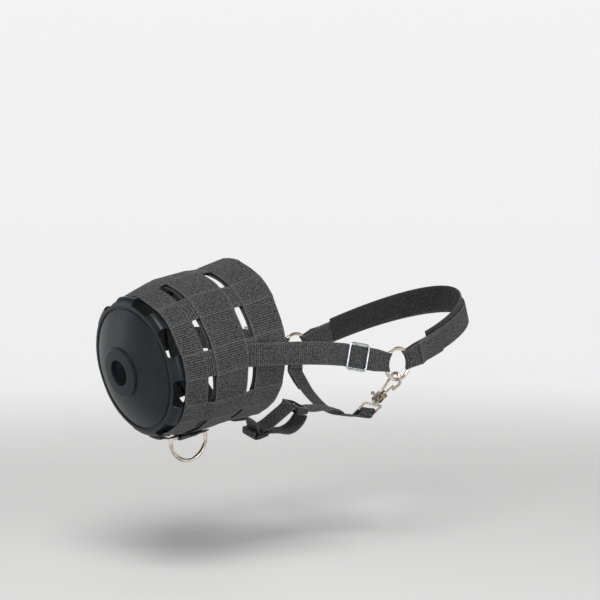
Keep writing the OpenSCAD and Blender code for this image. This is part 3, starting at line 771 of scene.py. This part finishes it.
def ring_keeper():
    """Webbing sewn under the basket on both sides of the lead ring's bar, and hanging in a loop round it."""
    down = np.cross(LEAD_BAR_DIRECTION, X)
    centre = LEAD_BAR - (CLEAR + LEAD_WIRE / 2) * down
    low = LEAD_WIRE + 2 * CLEAR + WEB / 2
    half = [(24, 2.2), (18, 0.7), (12, -0.7), (7, -2), (4.4, -4.2), (2.2, -low + 0.35), (0, -low)]
    path = [centre + x * X - h * down for x, h in half]
    path += [centre - x * X - h * down for x, h in reversed(half[:-1])]
    place, length = follow(curve(path), LEAD_BAR_DIRECTION, LEAD_BAR_DIRECTION)
    webbing("ring_keeper_webbing", place, length, STRAP, ("ring_keeper",))
    rows = []
    edge = STRAP / 2 - SEW_INSET
    for c in (-edge, edge):
        rows.append(stitch_row(place, (2.5, c), (12, c), -1))
        rows.append(stitch_row(place, (length - 12, c), (length - 2.5, c), -1))
    for reach in (3, 11, length - 11, length - 3):
        rows.append(stitch_row(place, (reach, -edge), (reach, edge), -1))
    stitching("ring_keeper_stitching", rows)


# ---------------------------------------------------------------- cheek straps


def semicircle(centre, start_way, over_way, radius, count=14):
    """Half circle round a wire: from start_way, over over_way, to the far side."""
    turn = np.linspace(0, math.pi, count)[:, None]
    return centre + radius * (np.cos(turn) * start_way + np.sin(turn) * over_way)


def cheek_place():
    """Cheek strap: out of the gap, over the rear band, along the cheek, round the ring and back inside."""
    away = np.array((0, -math.cos(CHEEK_FALL), math.sin(CHEEK_FALL)))
    outer = RING + WRAP * X
    route = curve(
        [
            (REAR_RADIUS - 4.1, -46, -7.7),
            (REAR_RADIUS - 3.6, -42, -7.8),
            (REAR_RADIUS - 2.4, -36.5, -7.9),
            (REAR_RADIUS - 1.3, -31, -8),
            (REAR_RADIUS + 1.8, -1, -8.8),
            (REAR_RADIUS + 3.6, 20, -9.8),
            (REAR_RADIUS + 5.4, 48, -12.2),
            outer + CHEEK_RUN * away,
        ],
        1.0,
    )
    straight = outer + np.linspace(CHEEK_RUN - 1, RING_RADIUS, 60)[:, None] * away
    fold = semicircle(RING + RING_RADIUS * away, X, -away, WRAP)
    back = RING - WRAP * X + np.linspace(RING_RADIUS, CHEEK_RETURN, 30)[:, None] * away
    path = np.vstack([route, straight, fold[1:-1], back])
    turn = path_length(np.vstack([route, straight])) + math.pi * WRAP / 2
    near_ring, narrow = ring_fold((turn,), 4, 22)
    ring_side = np.array((0, math.sin(CHEEK_FALL), math.cos(CHEEK_FALL)))
    place, length = follow(path, Z, ring_side, narrow, ring_pull(away, near_ring))
    return place, length, turn


def both_sides(place, rows):
    """Name, mapping and stitch rows of a strap on the near side, and of its mirror image on the off side."""
    yield "near", place, rows
    flip = np.array((-1, 1, 1))
    yield "off", mirrored(place), [[part * flip for part in row] for row in rows]


def cheek_straps():
    near_place, length, turn = cheek_place()
    edge = STRAP / 2 - SEW_INSET
    rows = []
    for reach in (8.5, 10.5, 44, 46.2):
        rows.append(stitch_row(near_place, (reach, -edge), (reach, edge), -1))
    for reach in (turn - 24, turn - 22):
        rows.append(stitch_row(near_place, (reach, -edge * 0.9), (reach, edge * 0.9), -1))
    for c in (-edge, edge):
        rows.append(stitch_row(near_place, (8.5, c), (46.2, c), -1))
    for side, place, side_rows in both_sides(near_place, rows):
        webbing(f"cheek_{side}_webbing", place, length, STRAP, (f"cheek_strap_{side}",))
        stitching(f"cheek_{side}_stitching", side_rows)


# ---------------------------------------------------------------- crown strap

CROWN_UP = np.array((0, -math.sin(CROWN_RISE), math.cos(CROWN_RISE)))
CROWN_BACK = np.array((0, math.cos(CROWN_RISE), math.sin(CROWN_RISE)))
CROWN_HALF = RING[0] - WRAP
PATCH_START = 31
PATCH_END = 70


def crown_point(x, u, up=0.0):
    """Point by the crown strap's own plane: x across the head, u back from the rings, up off the plane."""
    x, u, up = np.broadcast_arrays(np.asarray(x, float), u, up)
    origin = np.array((0, RING[1], RING[2]))
    return origin + x[..., None] * X + u[..., None] * CROWN_BACK + up[..., None] * CROWN_UP


def crown_plan(a, grow=0.0):
    """Point of the crown strap's middle line, or of one grow outside it, at angle a of its half ellipse."""
    a = np.radians(a)
    return (CROWN_HALF + grow) * np.cos(a), CROWN_START + (CROWN_DEPTH + grow) * np.sin(a)


def crown_angle(u):
    """Angle of the half ellipse at which the crown strap has come u back from the rings."""
    return math.degrees(math.asin((u - CROWN_START) / CROWN_DEPTH))


def crown_strap():
    """One strap from its sewn near end, round the near ring, over the nape and round the off ring."""
    lap = [crown_plan(a, LAYER) for a in np.linspace(crown_angle(CROWN_OVERLAP), crown_angle(44), 12)]
    start = [crown_point(x, u) for x, u in lap] + [
        crown_point(RING[0] + WRAP - 0.3, CROWN_START + 3),
        crown_point(RING[0] + WRAP, CROWN_START - 2),
        crown_point(RING[0] + WRAP, RING_RADIUS + 4),
        crown_point(RING[0] + WRAP, RING_RADIUS),
    ]
    start = curve(start)
    fold = semicircle(crown_point(RING[0], RING_RADIUS), X, -CROWN_BACK, WRAP)
    leg = crown_point(CROWN_HALF, np.linspace(RING_RADIUS, CROWN_START, 14)[1:])
    x, u = crown_plan(np.linspace(0, 90, 160)[1:])
    half = np.vstack([start, fold[1:], leg, crown_point(x, u)])
    path = np.vstack([half, (half * (-1, 1, 1))[-2::-1]])
    turn = path_length(start) + math.pi * WRAP / 2
    near_ring, narrow = ring_fold((turn, path_length(path) - turn), 4, 18)
    place, length = follow(path, CROWN_UP, CROWN_UP, narrow, ring_pull(CROWN_BACK, near_ring))
    webbing("crown_webbing", place, length, STRAP, ("crown_strap", "crown_end_near", "crown_end_off"))


def crown_patches():
    """Doubled end sewn over the strap behind each ring."""
    edge = STRAP / 2 - SEW_INSET
    angles = np.linspace(crown_angle(PATCH_START), crown_angle(PATCH_END), 60)
    x, u = crown_plan(angles, 2 * LAYER)
    ease = smooth((u - 30) / 14)
    path = crown_point(x + (1 - ease) * (RING[0] + WRAP + LAYER - 0.2 - x), u)
    near_place, length = follow(path, CROWN_UP, CROWN_UP)
    rows = []
    for reach in (2.6, 4.8, length - 4.8, length - 2.6):
        rows.append(stitch_row(near_place, (reach, -edge), (reach, edge), -1))
    for c in (-edge, edge):
        rows.append(stitch_row(near_place, (2.6, c), (length - 2.6, c), -1))
    for side, place, side_rows in both_sides(near_place, rows):
        webbing(f"crown_patch_{side}", place, length, STRAP - 0.6)
        stitching(f"crown_patch_{side}_stitching", side_rows)


def crown_lining():
    """Softer, wider strap inside the crown strap, which shows above it."""
    a = np.linspace(10, 170, 260)
    x, u = crown_plan(a, -LAYER - CLEAR)
    lift = 3.5 + 5.5 * np.sin(np.radians(a)) ** 2
    place, length = follow(crown_point(x, u, lift), CROWN_UP, CROWN_UP)
    webbing("crown_lining_tape", place, length, STRAP + 3, slot="lining", thick=1.5)


# ---------------------------------------------------------------- throat strap


def throat_strap():
    """From its sewn end at the snap's eye, under the jaw, up to the off ring, round it and back down."""
    ahead = np.array((math.cos(SNAP_SLOPE), 0, math.sin(SNAP_SLOPE)))
    above = np.array((-math.sin(SNAP_SLOPE), 0, math.cos(SNAP_SLOPE)))
    bottom = RING - RING_RADIUS * Z
    bar = bottom + EYE_FAR * ahead
    eye_side = math.cos(EYE_TURN) * Y + math.sin(EYE_TURN) * above
    fold = semicircle(bar, above, ahead, EYE_WRAP)
    off_x = -RING[0] + WRAP
    under = curve(
        [
            fold[-1] - 4 * ahead,
            fold[-1] - 9 * ahead,
            (18, 150, -99.2),
            (-8, 150, -101),
            (-36, 150, -95),
            (-62, 151, -82),
            (-80, 153, -68),
            (off_x - 0.4, RING[1], bottom[2] - 10),
            (off_x, RING[1], bottom[2] - 6),
        ]
    )
    start = fold[0] - np.linspace(16, 0.5, 24)[:, None] * ahead
    wire = np.array((-RING[0], RING[1], bottom[2]))
    rise = np.array((off_x, RING[1], 0)) + np.linspace(bottom[2] - 5, bottom[2] - 0.4, 8)[:, None] * Z
    over = semicircle(wire, X, Z, WRAP)
    out_x = -RING[0] - WRAP
    end = curve(
        [
            (out_x, RING[1], bottom[2] - 0.5),
            (out_x, RING[1], bottom[2] - 6),
            (out_x + 0.8, RING[1], bottom[2] - 10.5),
            (-88.6, RING[1], bottom[2] - 16.5),
            (-80.5, RING[1] - 1, bottom[2] - 22.5),
            (-71, RING[1] - 2, bottom[2] - 28.5),
        ]
    )
    path = np.vstack([start, fold, fold[-1] - 2 * ahead, under, rise, over, end])
    turn = path_length(path) - path_length(end) - math.pi * WRAP / 2
    near_ring, narrow = ring_fold((turn,), 4, 12, 0.12)
    place, length = follow(path, eye_side, Y, narrow, ring_pull(-Z, near_ring))
    webbing("throat_webbing", place, length, THROAT, ("throat_strap", "throat_end_off"))
    rows = []
    for reach in (2, 4, 13, length - 2, length - 4, length - 16):
        rows += rows_on_both_faces(place, reach, THROAT / 2 - 2)
    stitching("throat_stitching", rows)


# ---------------------------------------------------------------- chin strap


def chin_point(place, lean, a, b):
    """Point in a chin buckle's own frame: a along the strap, b up from the buckle's middle."""
    along = (math.sin(CHIN_ROLL) * math.sin(lean), math.cos(lean), math.cos(CHIN_ROLL) * math.sin(lean))
    up = (math.sin(CHIN_ROLL) * math.cos(lean), -math.sin(lean), math.cos(CHIN_ROLL) * math.cos(lean))
    return place + a * np.array(along) + b * np.array(up)


def chin_straps():
    """Tab from the rear band round the buckle, and the one strap that makes the slack and the upper run."""
    tab = [(0, -12, -90), (0, -2, -89.4), (0, 7, -89), (0, 13.5, -90), (0, 18.5, -94), (0, 21.2, -100)]
    wrap = [(-3, 1.5), (-3.3, -2), (-6, -3.6), (-8.9, -2), (-9.2, 1), (-7.6, 5.5)]
    tab += [chin_point(LOOP_PLACE, LOOP_LEAN, a, b) for a, b in wrap]
    place, length = follow(curve(tab), X, CHIN_SIDE, turning=(0, 0.5))
    webbing("chin_tab_webbing", place, length, CHIN_WIDTH, ("chin_tab",))
    edge = CHIN_WIDTH / 2 - 2
    rows = []
    for reach in (2.5, 4.6, 14, 16, length - 3):
        rows += rows_on_both_faces(place, reach, edge)

    slack = [chin_point(SLIDER_PLACE, SLIDER_LEAN, a, -5.1) for a in (-4, 0, 4)]
    slack += [
        (0, 86.6, -91.5), (0, 88.9, -93.8), (0, 87.2, -97.5), (0, 82.5, -102.8), (0, 76, -107.3),
        (0, 69, -109.8), (0, 63, -110.2), (0, 57, -109.2), (0, 50, -107.6), (0, 42, -106.8),
    ]
    loop = [(12, -2.4), (8.4, -3.2), (6, -3.6), (3.3, -2.4), (3, 0), (3.3, 2.3), (6, 3.4)]
    slack += [chin_point(LOOP_PLACE, LOOP_LEAN, a, b) for a, b in loop]
    slack += [(0, 37, -101.6), (0, 45, -98), (0, 57, -91), (0, 65, -86.4)]
    slack += [chin_point(SLIDER_PLACE, SLIDER_LEAN, a, 0) for a in (-10, -6, 0, 6, 10)]
    slack += [
        (0, 98, -88.2), (0, 107, -88.6), (0, 119, -88.9), (0, 131, -90.2), (0, 139, -93.2), (0, 145, -97.6),
    ]
    path = curve(slack)
    place, length = follow(path, -CHIN_SIDE, -X, turning=(0.8, 1))
    webbing("chin_webbing", place, length, CHIN_WIDTH, ("chin_strap", "chin_tail"))
    run = np.concatenate([[0], np.cumsum(np.linalg.norm(np.diff(path, axis=0), axis=1))])

    upper = (path[:, 1] > 36) & (run > run[np.argmin(path[:, 1])])
    for reach in (*np.interp((41, 43, 53, 55), path[upper, 1], run[upper]), length - 3):
        rows += rows_on_both_faces(place, reach, edge)
    stitching("chin_stitching", rows)


# ---------------------------------------------------------------- carried-over CAD nodes


def dress_cad_nodes():
    """Own materials for the nodes that stay, and worn edges on the two plastic buckles."""
    slots = {part["node"]: part["material_slot"] for part in frame["record"]["subparts"]}
    for name, node in frame["nodes"].items():
        for place in node.material_slots:
            place.material = MATERIALS["zinc" if name.startswith("cheek_slider") else slots[name]]
    for name in ("chin_loop", "chin_slider"):
        node = frame["nodes"][name]
        weld = node.modifiers.new("weld", "WELD")
        weld.merge_threshold = 0.01 * MM
        bevel = node.modifiers.new("bevel", "BEVEL")
        bevel.width = 0.5 * MM
        bevel.segments = 3
        bevel.limit_method = "ANGLE"
        bevel.angle_limit = math.radians(50)


# ---------------------------------------------------------------- stage, light and camera


def backdrop():
    """Bright horizon with a dimmer ceiling and ground, so that metal and rubber show their shape."""
    world = bpy.data.worlds.new("studio")
    world.use_nodes = True
    tree = world.node_tree
    split = tree.nodes.new("ShaderNodeSeparateXYZ")
    link(tree, tree.nodes.new("ShaderNodeTexCoord").outputs["Generated"], split.inputs[0])
    height = math_node(tree, "MULTIPLY_ADD", split.outputs["Z"], 0.5, 0.5)
    tone = ramp(tree, height, ((0.2, 0.6), (0.44, 0.86), (0.55, 0.90), (0.64, 0.30), (0.95, 0.08)))
    background = tree.nodes["Background"]
    link(tree, tone, background.inputs["Color"])
    background.inputs["Strength"].default_value = 1.0
    bpy.context.scene.world = world


FLOOR_SIZE = 4.0
FLOOR_DROP = 0.12


def stage():
    """Pale floor, FLOOR_DROP below the part, because the head that wears the muzzle isn't there."""
    lo, hi = cad_box
    size = FLOOR_SIZE
    mesh = bpy.data.meshes.new("floor")
    corners = [(-size, -size, 0), (size, -size, 0), (size, size, 0), (-size, size, 0)]
    mesh.from_pydata(corners, [], [(0, 1, 2, 3)])
    mesh.materials.append(floor_material("floor"))
    floor = bpy.data.objects.new("floor", mesh)
    floor.location = (0, (lo.y + hi.y) / 2, lo.z - FLOOR_DROP)
    bpy.context.scene.collection.objects.link(floor)


def soft_light(name, place, target, size, power, colour=(1, 1, 1)):
    light = bpy.data.lights.new(name, "AREA")
    light.shape = "RECTANGLE"
    light.size, light.size_y = size
    light.energy = power
    light.color = colour
    obj = bpy.data.objects.new(name, light)
    obj.location = place
    obj.rotation_mode = "QUATERNION"
    obj.rotation_quaternion = (Vector(target) - Vector(place)).to_track_quat("-Z", "Y")
    bpy.context.scene.collection.objects.link(obj)


def lights():
    lo, hi = cad_box
    middle = (lo + hi) / 2
    soft_light("key", middle + Vector((0.85, -0.8, 1.5)), middle, (1.0, 0.8), 28, (1, 0.99, 0.98))
    soft_light("side", middle + Vector((1.6, 0.25, 0.35)), middle, (0.4, 0.9), 5, (0.95, 0.97, 1))
    soft_light("top", middle + Vector((-0.3, 0.2, 1.6)), middle, (1.1, 1.1), 3)
    soft_light("back", middle + Vector((-1.4, 0.9, 0.7)), middle, (0.8, 0.8), 5)
    soft_light("strip", middle + Vector((-1.2, -1.1, 0.35)), middle, (0.12, 0.9), 1.8, (0.95, 0.97, 1))


CAMERA_AZIMUTH = math.radians(51.38)
CAMERA_ELEVATION = math.radians(5.46)
CAMERA_DISTANCE = 2.0
CAMERA_AIM = Vector((0, 0.08845, 0.03599))
CAMERA_LENS = 106.59


def camera():
    back = Vector(
        (
            math.sin(CAMERA_AZIMUTH) * math.cos(CAMERA_ELEVATION),
            -math.cos(CAMERA_AZIMUTH) * math.cos(CAMERA_ELEVATION),
            math.sin(CAMERA_ELEVATION),
        )
    )
    data = bpy.data.cameras.new("camera")
    data.lens = CAMERA_LENS
    obj = bpy.data.objects.new("camera", data)
    obj.location = CAMERA_AIM + CAMERA_DISTANCE * back
    obj.rotation_mode = "QUATERNION"
    obj.rotation_quaternion = (-back).to_track_quat("-Z", "Y")
    bpy.context.scene.collection.objects.link(obj)
    bpy.context.scene.camera = obj


camera()
bpy.context.scene.view_settings.view_transform = "Standard"
backdrop()
stage()
lights()
dress_cad_nodes()
bands()
linings()
long_straps()
front_fold()
ring_keeper()
cheek_straps()
crown_strap()
crown_patches()
crown_lining()
throat_strap()
chin_straps()
